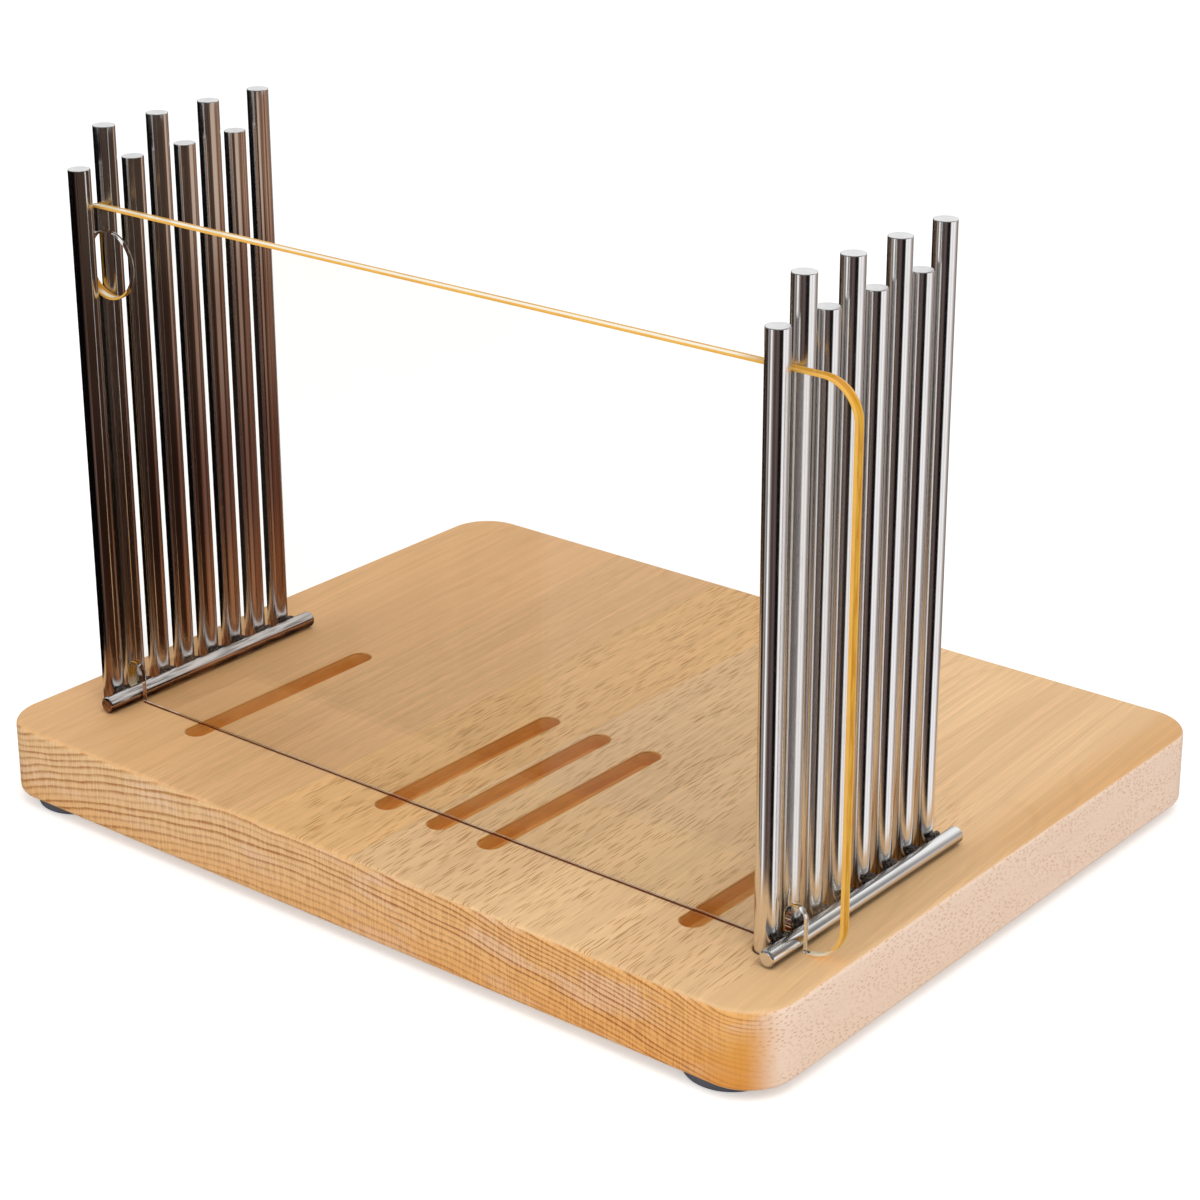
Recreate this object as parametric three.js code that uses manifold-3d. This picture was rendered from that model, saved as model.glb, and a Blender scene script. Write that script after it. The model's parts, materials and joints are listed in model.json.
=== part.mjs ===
// Bread slicer guide: a thick beech board carries two fences of upright steel rods, and a
// clear guard plate stands across both fences, between their first and second rods.
// A knife runs through the gaps between the rods, so each slice has the rods' pitch.
// Each fence stands with its feet in a routed groove of the board, and can be moved to a
// spare groove, nearer to the other fence.
// Millimetres. +X runs along the board's front edge, +Y from the front to the back, +Z up.
// The origin lies on the table under the middle of the board.

import * as THREE from 'three';
import { mergeVertices } from 'three/addons/utils/BufferGeometryUtils.js';
import Module from 'manifold-3d';

const wasm = await Module();
wasm.setup();

// Board
const boardLength = 350;
const boardWidth = 275;
const boardThickness = 28;
const boardCornerRadius = 18;
const boardEdgeRound = 2;

// Grooves in the board's top
const grooveDepth = 6;
const leftFenceShare = -0.436;
const rightFenceShare = 0.426;
const spareGrooveShares = [-0.309, -0.037, 0.032, 0.098, 0.343];

// Fences: rods that stand in one row, short and tall in turn, and a rail at their foot
const rodsPerFence = 8;
const rodDiameter = 8;
const shortRodHeight = 204;
const tallRodExtra = 13.5;
const rodEndChamfer = 0.4;
const rowFrontInset = 38.5;
const railDiameter = 6;
const railOverhang = 10.5;
const railEndRound = 1;

// Guard plate
const plateThickness = 4;
const plateHeight = 190;
const plateCornerRadius = 13;
const plateEdgeRound = 0.4;
const plateLeftOverhang = 11;
const plateRightInset = 0.5;
const fingerHoleDiameter = 24;
const fingerHoleInset = 17.5;
const fingerHoleDrop = 21;
const notchLand = 1;
const notchHeadroom = 2;

// Feet
const footRadius = 16;
const footHeight = 4;
const footTaper = 0.5;
const footEdgeRound = 1;
const footInsetX = 24;
const footInsetY = 18;

// Clearances
const seatGap = 0.3;
const grooveClearance = 0.3;
const plateClearance = 0.3;
const notchClearance = 0.6;
const liftClearance = 0.5;
const cutOverrun = 1;

// Faces round each curve
const rodSides = 32;
const roundSteps = 12;
const edgeSteps = 3;

// What follows from the sizes above
const rodRadius = rodDiameter / 2;
const railRadius = railDiameter / 2;
const rodPitch = rodDiameter + plateThickness + 2 * plateClearance;
const rowLength = (rodsPerFence - 1) * rodPitch;
const rowFront = -boardWidth / 2 + rowFrontInset;
const boardTop = footHeight + boardThickness;
const leftFenceX = leftFenceShare * boardLength;
const rightFenceX = rightFenceShare * boardLength;
const railOffset = rodRadius + seatGap + railRadius;
const grooveRadius = rodRadius + grooveClearance;
const fenceLift = grooveDepth + liftClearance;
const plateLeft = leftFenceX - plateLeftOverhang;
const plateRight = boardLength / 2 - plateRightInset;

// Finishes
const beech = { color: 0xdcb17c, roughness: 0.62, metalness: 0 };
const polishedSteel = { color: 0xc9c9cb, roughness: 0.14, metalness: 1 };
const acrylic = { color: 0xf2e6c4, roughness: 0.05, metalness: 0, transparent: true, opacity: 0.35 };
const greyRubber = { color: 0x6d727a, roughness: 0.85, metalness: 0 };

function piece(name, geometry, finish) {
  const mesh = new THREE.Mesh(geometry, new THREE.MeshStandardMaterial(finish));
  mesh.name = name;
  return mesh;
}

function solidOf(geometry) {
  const bare = geometry.clone();
  bare.deleteAttribute('normal');
  bare.deleteAttribute('uv');
  const merged = mergeVertices(bare);
  const vertProperties = Float32Array.from(merged.attributes.position.array);
  const triVerts = Uint32Array.from(merged.index.array);
  return new wasm.Manifold(new wasm.Mesh({ numProp: 3, vertProperties, triVerts }));
}

function geometryOf(solid) {
  const { vertProperties, triVerts } = solid.getMesh();
  const geometry = new THREE.BufferGeometry();
  geometry.setAttribute('position', new THREE.BufferAttribute(vertProperties, 3));
  geometry.setIndex(new THREE.BufferAttribute(triVerts, 1));
  geometry.computeVertexNormals();
  return geometry;
}

// A flat outline made solid, its two rims rounded inside the outline
function slab(outline, thickness, edgeRound) {
  const geometry = new THREE.ExtrudeGeometry(outline, {
    depth: thickness - 2 * edgeRound,
    curveSegments: roundSteps,
    bevelThickness: edgeRound,
    bevelSize: edgeRound,
    bevelOffset: -edgeRound,
    bevelSegments: edgeSteps,
  });
  geometry.translate(0, 0, edgeRound);
  return geometry;
}

// Board: a rounded rectangle with seven grooves that run from front to back

function roundedRectangle(length, width, radius) {
  const x = length / 2 - radius;
  const y = width / 2 - radius;
  const outline = new THREE.Shape();
  outline.moveTo(-x, -y - radius);
  outline.absarc(x, -y, radius, -Math.PI / 2, 0);
  outline.absarc(x, y, radius, 0, Math.PI / 2);
  outline.absarc(-x, y, radius, Math.PI / 2, Math.PI);
  outline.absarc(-x, -y, radius, Math.PI, 1.5 * Math.PI);
  return outline;
}

function grooveCutter(x) {
  const outline = new THREE.Shape();
  outline.moveTo(x + grooveRadius, rowFront);
  outline.absarc(x, rowFront + rowLength, grooveRadius, 0, Math.PI);
  outline.absarc(x, rowFront, grooveRadius, Math.PI, 2 * Math.PI);
  const cutter = new THREE.ExtrudeGeometry(outline, {
    depth: grooveDepth + cutOverrun,
    curveSegments: roundSteps,
    bevelEnabled: false,
  });
  cutter.translate(0, 0, boardThickness - grooveDepth);
  return cutter;
}

function board() {
  const outline = roundedRectangle(boardLength, boardWidth, boardCornerRadius);
  let solid = solidOf(slab(outline, boardThickness, boardEdgeRound));
  const spareGroovesX = spareGrooveShares.map((share) => share * boardLength);
  for (const x of [leftFenceX, ...spareGroovesX, rightFenceX]) {
    solid = solid.subtract(solidOf(grooveCutter(x)));
  }
  const mesh = piece('board', geometryOf(solid), beech);
  mesh.position.z = footHeight;
  return mesh;
}

// Fences: a rod is turned about +Y and then stood up, a rail stays lying along +Y

function turned(profile) {
  return new THREE.LatheGeometry(profile.map(([radius, along]) => new THREE.Vector2(radius, along)), rodSides);
}

function rod(name, length) {
  const faceRadius = rodRadius - rodEndChamfer;
  const mesh = piece(name, turned([
    [0, 0],
    [faceRadius, 0],
    [rodRadius, rodEndChamfer],
    [rodRadius, length - rodEndChamfer],
    [faceRadius, length],
    [0, length],
  ]), polishedSteel);
  mesh.rotation.x = Math.PI / 2;
  return mesh;
}

// The profile's quarter round at a turned piece's lower end, or its mirror at the upper end
function endRound(radius, round, along, direction) {
  const points = [];
  for (let step = 0; step <= edgeSteps; step += 1) {
    const angle = (step / edgeSteps) * (Math.PI / 2);
    const out = radius - round + round * Math.sin(angle);
    points.push([out, along + direction * round * (1 - Math.cos(angle))]);
  }
  return points;
}

function rail(name) {
  const length = rowLength + 2 * railOverhang;
  return piece(name, turned([
    [0, 0],
    ...endRound(railRadius, railEndRound, 0, 1),
    ...endRound(railRadius, railEndRound, length, -1).reverse(),
    [0, length],
  ]), polishedSteel);
}

function fence(side, x) {
  const group = new THREE.Group();
  const footDepth = grooveDepth - seatGap;
  for (let index = 0; index < rodsPerFence; index += 1) {
    const tall = index % 2 === 1;
    const height = tall ? shortRodHeight + tallRodExtra : shortRodHeight;
    const upright = rod(`${side}_rod_${index + 1}`, footDepth + height);
    upright.position.set(0, index * rodPitch, -footDepth);
    group.add(upright);
  }
  const footRail = rail(`${side}_rail`);
  footRail.position.set(railOffset, -railOverhang, railRadius + seatGap);
  group.add(footRail);
  group.position.set(x, rowFront, boardTop);
  return group;
}

// Guard plate: drawn in its own plane, with its lower left corner at zero, and stood up. It
// rests at the rails' height, and an arched notch straddles each rail, so tall that a fence
// can be lifted out of its groove while the plate stands.

function guardPlate() {
  const length = plateRight - plateLeft;
  const notchRadius = railRadius + notchClearance;
  const archCentre = railRadius + fenceLift + notchHeadroom;
  const notchesX = [leftFenceX, rightFenceX].map((x) => x + railOffset - plateLeft);
  const endRoom = Math.min(notchesX[0], length - notchesX[1]) - notchRadius - notchLand;
  const radius = Math.min(plateCornerRadius, endRoom);

  const outline = new THREE.Shape();
  outline.moveTo(radius, 0);
  for (const x of notchesX) {
    outline.lineTo(x - notchRadius, 0);
    outline.absarc(x, archCentre, notchRadius, Math.PI, 0, true);
    outline.lineTo(x + notchRadius, 0);
  }
  outline.absarc(length - radius, radius, radius, -Math.PI / 2, 0);
  outline.absarc(length - radius, plateHeight - radius, radius, 0, Math.PI / 2);
  outline.absarc(radius, plateHeight - radius, radius, Math.PI / 2, Math.PI);
  outline.absarc(radius, radius, radius, Math.PI, 1.5 * Math.PI);

  const fingerHole = new THREE.Path();
  fingerHole.absarc(fingerHoleInset, plateHeight - fingerHoleDrop, fingerHoleDiameter / 2, 0, 2 * Math.PI);
  outline.holes.push(fingerHole);

  const solid = solidOf(slab(outline, plateThickness, plateEdgeRound));
  const mesh = piece('guard_plate', geometryOf(solid), acrylic);
  mesh.rotation.x = Math.PI / 2;
  mesh.position.set(plateLeft, rowFront + rodPitch / 2 + plateThickness / 2, boardTop + seatGap);
  return mesh;
}

// Feet: round rubber pads glued under the corners, a little narrower at the table

function foot(name, x, y) {
  const mesh = piece(name, turned([
    [0, 0],
    ...endRound(footRadius - footTaper, footEdgeRound, 0, 1),
    [footRadius, footHeight],
    [0, footHeight],
  ]), greyRubber);
  mesh.rotation.x = Math.PI / 2;
  mesh.position.set(x, y, 0);
  return mesh;
}

function feet() {
  const group = new THREE.Group();
  const x = boardLength / 2 - footInsetX;
  const y = boardWidth / 2 - footInsetY;
  group.add(
    foot('foot_front_left', -x, -y),
    foot('foot_front_right', x, -y),
    foot('foot_back_left', -x, y),
    foot('foot_back_right', x, y),
  );
  return group;
}

const breadSlicerGuide = new THREE.Group();
breadSlicerGuide.add(
  board(),
  fence('left', leftFenceX),
  fence('right', rightFenceX),
  guardPlate(),
  feet(),
);

export default breadSlicerGuide;
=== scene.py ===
"""Looks of a bread slicer guide: a beech board, two fences of steel rods and a clear guard plate."""
import json
import math

import bmesh
import bpy
from mathutils import Matrix, Vector, noise


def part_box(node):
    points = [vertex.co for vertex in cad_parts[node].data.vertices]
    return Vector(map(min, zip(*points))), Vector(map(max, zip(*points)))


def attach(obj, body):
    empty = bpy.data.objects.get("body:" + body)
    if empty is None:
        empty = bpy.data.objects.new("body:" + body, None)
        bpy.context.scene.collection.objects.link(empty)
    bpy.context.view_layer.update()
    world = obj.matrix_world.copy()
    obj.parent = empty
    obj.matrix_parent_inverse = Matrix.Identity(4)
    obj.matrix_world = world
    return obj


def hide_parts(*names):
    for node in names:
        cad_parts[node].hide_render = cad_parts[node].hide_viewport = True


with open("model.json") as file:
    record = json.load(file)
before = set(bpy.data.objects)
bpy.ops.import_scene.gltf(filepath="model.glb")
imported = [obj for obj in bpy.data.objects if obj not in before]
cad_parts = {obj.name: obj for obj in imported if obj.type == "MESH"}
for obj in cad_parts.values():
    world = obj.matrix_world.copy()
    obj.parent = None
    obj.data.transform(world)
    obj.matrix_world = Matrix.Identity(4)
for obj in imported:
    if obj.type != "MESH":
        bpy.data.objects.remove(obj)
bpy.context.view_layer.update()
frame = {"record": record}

bl_info = {
    "name": "Bread Slicer Guide",
    "version": (1, 0, 0),
    "blender": (4, 5, 0),
    "location": "3D View > Sidebar > Slicer Guide",
    "description": "Builds the board, rod fences, guard plate, feet and studio of a bread slicer guide",
    "category": "Add Mesh",
}

MM = 0.001
SIDES = ("left", "right")
ROD_NUMBERS = range(1, 9)
FOOT_CORNERS = ("front_left", "front_right", "back_left", "back_right")


def paint(code):
    """The scene-linear colour of a hex code as painters' charts give it."""
    shares = [int(code[i:i + 2], 16) / 255 for i in (1, 3, 5)]
    return tuple(s / 12.92 if s <= 0.04045 else ((s + 0.055) / 1.055) ** 2.4 for s in shares)


# Places that the frame gives

def middle(node):
    low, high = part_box(node)
    return (low + high) / 2


def opening(name):
    """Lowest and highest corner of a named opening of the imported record."""
    for row in frame["record"]["physics"]["openings"]:
        if row["name"] == name:
            return Vector(row["box_m"][0]), Vector(row["box_m"][1])
    raise KeyError(name)


def spare_groove_places():
    rows = frame["record"]["physics"]["openings"]
    names = sorted(row["name"] for row in rows if row["name"].startswith("spare_groove"))
    return [sum(opening(name), Vector()).x / 2 for name in names]


# Settings that a user would change

def length_property(name, description, default):
    return bpy.props.FloatProperty(
        name=name, description=description, default=default * MM, min=0, unit="LENGTH",
        subtype="DISTANCE", precision=4)


def colour_property(name, description, default):
    return bpy.props.FloatVectorProperty(
        name=name, description=description, default=paint(default), min=0, max=1, size=3,
        subtype="COLOR")


def share_property(name, description, default):
    return bpy.props.FloatProperty(
        name=name, description=description, default=default, min=0, max=1, subtype="FACTOR")


class BoardSettings(bpy.types.PropertyGroup):
    corner_radius: length_property("Corner Radius", "Plan radius of the board's corners", 18)
    edge_round: length_property("Edge Round", "Round along the top and bottom edges", 2)
    groove_width: length_property("Groove Width", "Width of each routed groove", 8.6)
    groove_depth: length_property("Groove Depth", "Depth of each routed groove", 6)
    groove_rim: length_property("Groove Rim", "Broken edge along each groove", 0.5)
    end_grain_light: colour_property("End Grain Light", "Early wood on the end grain", "#EFC592")
    end_grain_dark: colour_property("End Grain Dark", "Late wood on the end grain", "#C08A4E")
    side_tone: colour_property("Side Tone", "Long grain on the sides", "#FBE0CB")
    groove_tone: colour_property("Groove Tone", "Scorched wood in the grooves", "#E4A658")


class FenceSettings(bpy.types.PropertyGroup):
    rod_end_round: length_property("Rod End Round", "Round at the rods' cut ends", 0.35)
    rail_end_round: length_property("Rail End Round", "Round at the rails' ends", 1)
    weld_length: length_property("Weld Length", "Length of one tack weld along the rail", 8)
    weld_height: length_property("Weld Height", "Height of one tack weld", 2.6)
    steel_tone: colour_property("Steel Tone", "Colour of the polished steel", "#F0EFEE")
    weld_tone: colour_property("Weld Tone", "Colour of the tack welds", "#2E2826")


class PlateSettings(bpy.types.PropertyGroup):
    corner_radius: length_property("Corner Radius", "Radius of the plate's corners", 13)
    edge_round: length_property("Edge Round", "Polished round along the plate's rims", 0.4)
    edge_glow: length_property("Edge Glow", "Width of the amber that shows in front of a rim", 0.4)
    hole_diameter: length_property("Hole Diameter", "Diameter of the finger hole", 24)
    notch_width: length_property("Notch Width", "Width of the arched notches over the rails", 7.2)
    notch_height: length_property("Notch Height", "Height of the arched notches", 15.1)
    clear_tone: colour_property("Clear Tone", "Colour of the clear sheet", "#FEFDFA")
    edge_tone: colour_property("Edge Tone", "Amber of the sheet's edges", "#E1AC38")
    # The pale edge tone is a painted highlight.
    edge_painted_highlight_tone: colour_property("Edge Pale Tone", "Pale line in the edges", "#FBF3DC")
    # The dark edge tone is painted shade under the sheet's foot.
    edge_painted_shade_tone: colour_property("Edge Dark Tone", "Shaded lower edge", "#64280A")


class FootSettings(bpy.types.PropertyGroup):
    taper: length_property("Taper", "How much narrower a foot is at the table", 0.5)
    edge_round: length_property("Edge Round", "Round at the table end", 1)
    rubber_tone: colour_property("Rubber Tone", "Colour of the rubber", "#5D606A")


class StageSettings(bpy.types.PropertyGroup):
    floor_tone: colour_property("Floor Tone", "Colour of the floor", "#EFEFEF")
    ambient: share_property("Ambient", "Level of the light from all round", 0.66)
    floor_glow: share_property("Floor Glow", "Light that the floor adds for the camera", 0.4)
    key_power: bpy.props.FloatProperty(
        name="Key Power", description="Power of the large softbox", default=14, min=0,
        unit="POWER")
    fill_power: bpy.props.FloatProperty(
        name="Fill Power", description="Power of the front softbox", default=6, min=0,
        unit="POWER")


# Node trees

class Net:
    """Short ways to add nodes to one tree and to join them."""

    def __init__(self, tree):
        self.tree = tree

    def add(self, kind, inputs=(), **settings):
        made = self.tree.nodes.new("ShaderNode" + kind)
        for name, value in settings.items():
            setattr(made, name, value)
        for key, value in dict(inputs).items():
            self.feed(made.inputs[key], value)
        return made

    def feed(self, socket, value):
        if isinstance(value, bpy.types.NodeSocket):
            self.tree.links.new(value, socket)
        elif socket.type == "RGBA":
            socket.default_value = (*value[:3], 1)
        else:
            socket.default_value = value

    def math(self, operation, *values, clamp=False):
        return self.add("Math", enumerate(values), operation=operation, use_clamp=clamp).outputs[0]

    def product(self, value, *others):
        for other in others:
            value = self.math("MULTIPLY", value, other)
        return value

    def opposite(self, share):
        return self.math("SUBTRACT", 1.0, share)

    def vector(self, operation, *values):
        return self.add("VectorMath", enumerate(values), operation=operation).outputs

    def scaled(self, place, x, y, z):
        return self.vector("MULTIPLY", place, (x, y, z))["Vector"]

    def flat(self, x, y):
        return self.add("CombineXYZ", {"X": x, "Y": y}).outputs[0]

    def parts(self, place):
        return self.add("SeparateXYZ", {0: place}).outputs

    def rise(self, value, low, high, start=0.0, end=1.0):
        """A smooth step from start to end, while value goes from low to high."""
        return self.add("MapRange", {0: value, 1: low, 2: high, 3: start, 4: end},
                        interpolation_type="SMOOTHSTEP").outputs[0]

    def spread(self, value, low, high):
        """A straight line from low to high, while value goes from 0 to 1."""
        return self.add("MapRange", {0: value, 3: low, 4: high}).outputs[0]

    def blend(self, share, first, second, kind="MIX"):
        return self.add("Mix", {0: share, 6: first, 7: second}, data_type="RGBA",
                        blend_type=kind).outputs[2]

    def tinted(self, colour, *tints):
        """The colour, multiplied by each (share, tint) in turn."""
        for share, tint in tints:
            colour = self.blend(share, colour, tint, "MULTIPLY")
        return colour

    def clouds(self, place, scale=1.0, detail=2.0, roughness=0.5):
        return self.add("TexNoise", {"Vector": place, "Scale": scale, "Detail": detail,
                                     "Roughness": roughness}).outputs[0]

    def streaks(self, place, scale, detail=2.0, roughness=0.5):
        """Clouds drawn out in the directions whose scale is small."""
        return self.clouds(self.scaled(place, *scale), 1.0, detail, roughness)

    def cells(self, place, x, y):
        """How far it is to the middle of the nearest cell, for pores and flecks."""
        return self.add("TexVoronoi", {"Vector": self.scaled(place, x, y, 1), "Scale": 1},
                        voronoi_dimensions="2D").outputs[0]

    def bands(self, value, stops, steps=False):
        """Colours over 0 to 1: stops are (place, colour)."""
        made = self.add("ValToRGB", {0: value})
        ramp = made.color_ramp
        ramp.interpolation = "CONSTANT" if steps else "LINEAR"
        while len(ramp.elements) < len(stops):
            ramp.elements.new(1.0)
        for element, (place, colour) in zip(ramp.elements, stops):
            element.position = place
            element.color = (*colour, 1)
        return made.outputs[0]

    def group(self, tree, **inputs):
        made = self.add("Group", node_tree=tree)
        for name, value in inputs.items():
            self.feed(made.inputs[name.title()], value)
        return made.outputs


def new_group(name, inputs, outputs):
    """A shader node group with named sockets: its net of nodes, its inputs and its outputs."""
    tree = bpy.data.node_groups.new(name, "ShaderNodeTree")
    for direction, rows in (("INPUT", inputs), ("OUTPUT", outputs)):
        for label, kind in rows:
            tree.interface.new_socket(label, in_out=direction, socket_type="NodeSocket" + kind)
    entry = tree.nodes.new("NodeGroupInput")
    end = tree.nodes.new("NodeGroupOutput")
    return Net(tree), entry.outputs, end.inputs


def close_group(net, end, **values):
    """Feed the group's outputs, and give its tree."""
    for name, value in values.items():
        net.feed(end[name.replace("_", " ").title()], value)
    return net.tree


def shared_group(name, build):
    """The group of that name, built the first time it is asked for."""
    return bpy.data.node_groups.get(name) or build(name)


def new_material(name):
    material = bpy.data.materials.new(name)
    material.use_nodes = True
    material.node_tree.nodes.clear()
    return material, Net(material.node_tree)


def coated(net, inputs, relief=None):
    """The main shader with these inputs; relief is a bump's height, strength and depth."""
    shader = net.add("BsdfPrincipled", inputs)
    if relief:
        height, strength, depth = relief
        bump = net.add("Bump", {"Strength": strength, "Distance": depth, "Height": height})
        net.feed(shader.inputs["Normal"], bump.outputs[0])
    return shader


def finish_surface(net, shader):
    net.add("OutputMaterial", {"Surface": shader.outputs[0]})


def place_in_mm(net):
    """The surface point in the piece's own millimetres."""
    return net.scaled(net.add("TexCoord").outputs["Object"], 1000, 1000, 1000)


def own_normal(net):
    """The three parts of the piece's own normal."""
    return net.parts(net.add("TexCoord").outputs["Normal"])


# Timber

# Each stave from left to right: where it starts across the board in millimetres, its colour,
# and how much of the short pores, of the fine lines and of the bands' shift it shows
STAVES = (
    (-175, "#EAB982", 0.06, 0.35, 0.00),
    (-98, "#E9BA85", 0.25, 0.75, 0.02),
    (-46, "#EDBE83", 0.95, 0.80, 0.05),
    (4, "#EAC291", 1.00, 0.70, 0.45),
    (58, "#F3CB99", 1.00, 0.70, 0.50),
    (108, "#ECC392", 0.85, 0.65, 0.55),
    (152, "#EAC08E", 0.08, 0.30, 0.60),
)
BOARD_HALF = 175.0
GLUE_LINE_HALF = 0.16
TOP_SKEW = 0.07
LINE_TINT = (0.83, 0.78, 0.70)
BETWEEN_LINES_TINT = (1.10, 1.08, 1.04)
BAND_TINT = (0.86, 0.80, 0.72)
PORE_TINT = (0.60, 0.45, 0.31)
FAR_RIGHT_TINT = (0.90, 0.80, 0.66)
GLUE_LINE_TINT = (0.6, 0.5, 0.4)
PATCH_TINT = (1.04, 1.04, 1.05)
LOW_END_TINT = (0.97, 0.85, 0.66)
SIDE_LINE_TINT = (0.93, 0.87, 0.80)
FLECK_TINT = (0.80, 0.66, 0.56)
SIDE_PATCH_TINT = (0.97, 0.94, 0.90)
ARRIS_TINT = (1.05, 1.03, 1.0)
BURN_TINT = (0.86, 0.76, 0.64)
GROOVE_LINE_TINT = (0.80, 0.72, 0.62)


def build_staves(name):
    net, entry, end = new_group(
        name, [("Across", "Float")],
        [("Tone", "Color"), ("Pores", "Float"), ("Lines", "Float"), ("Shift", "Float"),
         ("Joint", "Float")])
    share = net.math("MULTIPLY_ADD", entry["Across"], 0.5 / BOARD_HALF, 0.5)
    places = [(row[0] + BOARD_HALF) / (2 * BOARD_HALF) for row in STAVES]
    tone = net.bands(share, [(p, paint(row[1])) for p, row in zip(places, STAVES)], steps=True)
    kind = net.bands(share, [(p, row[2:]) for p, row in zip(places, STAVES)], steps=True)
    pores, lines, shift = net.add("SeparateColor", {0: kind}).outputs
    joint = 0.0
    for row in STAVES[1:-1]:
        joint = net.math("MAXIMUM", joint, net.math(
            "COMPARE", entry["Across"], row[0], GLUE_LINE_HALF))
    return close_group(net, end, tone=tone, pores=pores, lines=lines, shift=shift, joint=joint)


def build_grain(name):
    """Fine lines, short pores, growth rings and broad bands of beech that grew front to back."""
    net, entry, end = new_group(
        name, [("Place", "Vector"), ("Shift", "Float"), ("Skew", "Float")],
        [("Lines", "Float"), ("Pores", "Float"), ("Late Wood", "Float"), ("Bands", "Float")])
    place = entry["Place"]
    x, y, z = net.parts(place)
    around = net.math("MULTIPLY_ADD", entry["Skew"], y, net.math("ADD", x, z))
    bend = net.streaks(place, (0.018, 0.005, 0.02), 1)
    flat = net.flat(net.math("MULTIPLY_ADD", bend, 4.0, around), y)

    fine = net.streaks(flat, (2.0, 0.016, 1), 3, 0.65)
    broad = net.streaks(flat, (0.35, 0.005, 1))
    lines = net.math("ADD", net.rise(fine, 0.42, 0.68, 0, 0.6), net.rise(broad, 0.4, 0.7, 0, 0.4))

    length = net.streaks(flat, (0.9, 0.05, 1), 0)
    pores = net.rise(net.math("MULTIPLY_ADD", length, 0.3, net.cells(flat, 1.0, 0.06)),
                     0.28, 0.40, 1, 0)

    slope = net.math("MULTIPLY_ADD", net.streaks(place, (0.012, 0.0022, 0.02)), 46.0,
                     net.product(x, 0.16))
    bands = net.math("PINGPONG", net.math("ADD", slope, entry["Shift"]), 1.0)
    return close_group(net, end, lines=lines, pores=pores, late_wood=late_wood(net, place),
                       bands=bands)


def late_wood(net, place):
    """The dark part of each growth ring, in arches that lie flatter to the right."""
    x, _, z = net.parts(place)
    centre = net.math("ADD", x, 16.0)
    depth = z
    for side, fall in (("MINIMUM", 0.5 / 430), ("MAXIMUM", 0.5 / 1050)):
        out = net.math(side, centre, 0.0)
        depth = net.math("MULTIPLY_ADD", net.product(out, out), fall, depth)
    wobble = net.streaks(place, (0.022, 0.004, 0.06), 3, 0.45)
    depth = net.math("MULTIPLY_ADD", wobble, 6.0, net.math("SUBTRACT", depth, 19.0))
    number = net.product(depth, net.rise(x, -60.0, 170.0, 0.36, 0.60))
    phase = net.math("FRACT", number)
    year = net.add("TexWhiteNoise", {"W": net.math("FLOOR", number)},
                   noise_dimensions="1D").outputs[0]
    return net.product(net.rise(phase, 0.34, 0.78), net.rise(phase, 0.82, 0.98, 1, 0),
                       net.spread(year, 0.4, 1.0))


def timber(net, place, skew):
    """The staves and the grain at this place."""
    staves = net.group(shared_group("stave_lots", build_staves), across=net.parts(place)["X"])
    grain = net.group(shared_group("timber_grain", build_grain), place=place,
                      shift=staves["Shift"], skew=skew)
    return staves, grain


def board_top(net, place, staves, grain, patches):
    """The top's colour and its pores, which fade towards the back right."""
    x, y = net.parts(place)[:2]
    calm = net.product(net.rise(x, 20.0, 110.0), net.rise(y, -20.0, 60.0))
    far_right = net.product(net.rise(x, 154.0, 169.0), net.rise(y, -60.0, 60.0))
    crowd = net.streaks(place, (0.06, 0.02, 0.06), 1)
    pores = net.product(grain["Pores"], net.product(staves["Pores"], net.opposite(calm)),
                        net.rise(crowd, 0.3, 0.55, 0.25, 1.0))
    colour = net.tinted(
        staves["Tone"],
        (net.product(grain["Lines"], staves["Lines"]), LINE_TINT),
        (net.rise(grain["Lines"], 0.0, 0.3, 0.7, 0.0), BETWEEN_LINES_TINT),
        (net.rise(grain["Bands"], 0.7, 1.0, 0, 0.25), BAND_TINT),
        (net.product(pores, 0.9), PORE_TINT),
        (far_right, FAR_RIGHT_TINT),
        (net.product(staves["Joint"], 0.25), GLUE_LINE_TINT),
        (net.rise(patches, 0.35, 0.65, 0.0, 0.5), PATCH_TINT))
    return colour, pores


def board_ends(net, place, settings, grain, patches):
    """The ends' colour, their rings and the speckle of cut fibres; warmer towards the right."""
    x, _, z = net.parts(place)
    warm = net.rise(x, -100.0, 165.0)
    blush = net.streaks(place, (0.03, 0.02, 0.12))
    russet = net.streaks(place, (0.05, 0.02, 0.7), 3, 0.6)
    light = net.blend(warm, settings.end_grain_light, paint("#F3B76D"))
    light = net.blend(net.rise(blush, 0.5, 0.65, 0.0, 0.5), light, paint("#F0CCAE"))
    dark = net.blend(warm, settings.end_grain_dark, paint("#AD682E"))
    dark = net.blend(net.rise(russet, 0.45, 0.65, 0.0, 0.7), dark, paint("#B2643A"))

    rays = net.streaks(place, (1.1, 0.4, 0.10), 2, 0.6)
    speckle = net.clouds(place, 2.2, 2, 0.6)
    rings = net.math("MULTIPLY_ADD", net.rise(rays, 0.4, 0.65), -0.4, grain["Late Wood"])
    rings = net.math("MULTIPLY_ADD", speckle, 0.5, rings)
    rings = net.math("SUBTRACT", rings, 0.04, clamp=True)
    rings = net.product(rings, net.rise(x, 130.0, 170.0, 1.0, 0.7))

    amber = net.product(net.rise(patches, 0.45, 0.6), net.rise(x, 140.0, 168.0, 0.0, 0.8))
    colour = net.blend(amber, net.blend(rings, light, dark), paint("#E39B3E"))
    colour = net.tinted(colour, (net.rise(z, 4.0, 22.0, 0.8, 0.0), LOW_END_TINT))
    return colour, rings, speckle


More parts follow.
